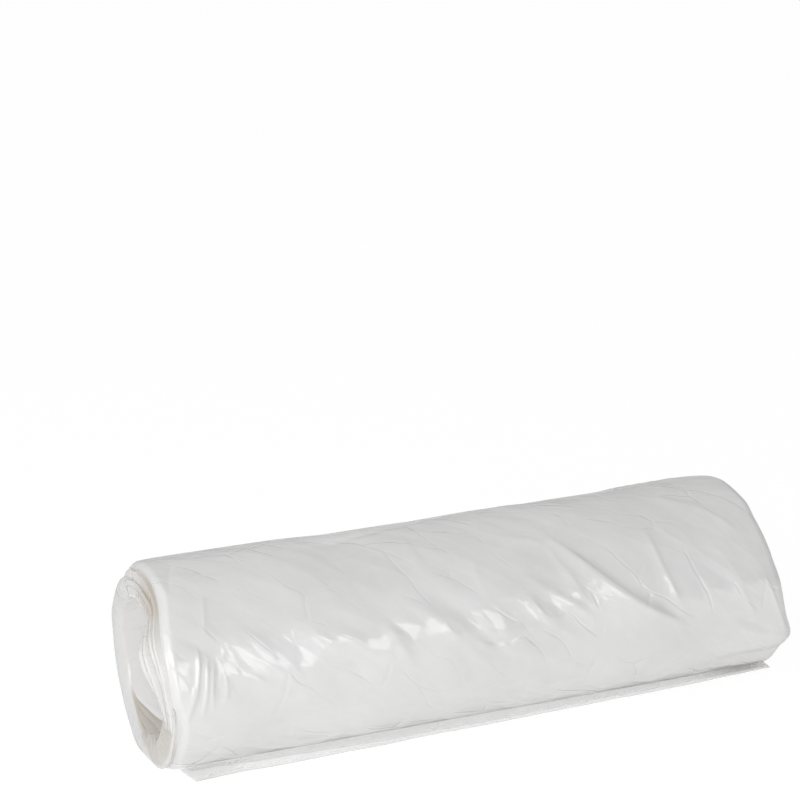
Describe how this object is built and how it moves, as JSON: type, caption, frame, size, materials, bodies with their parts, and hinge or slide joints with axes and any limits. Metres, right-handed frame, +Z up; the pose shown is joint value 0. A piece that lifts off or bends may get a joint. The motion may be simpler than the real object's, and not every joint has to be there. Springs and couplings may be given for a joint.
{
  "type": "bin bag roll",
  "caption": "Loose roll of flat-folded translucent film bags, lying on its side, hollow through the middle, with its free tail in front.",
  "frame": {"origin": "on the table, under the middle of the roll's own box", "axes": "+X along the roll towards its right end, -Y to the front where the loose tail lies, +Z up"},
  "size_m": [0.3556, 0.1048, 0.0998],
  "materials": {
    "film": "milky translucent polyethylene film, soft gloss, finely wrinkled"
  },
  "bodies": {
    "root": {"bag_roll": "film"}
  },
  "joints": []
}
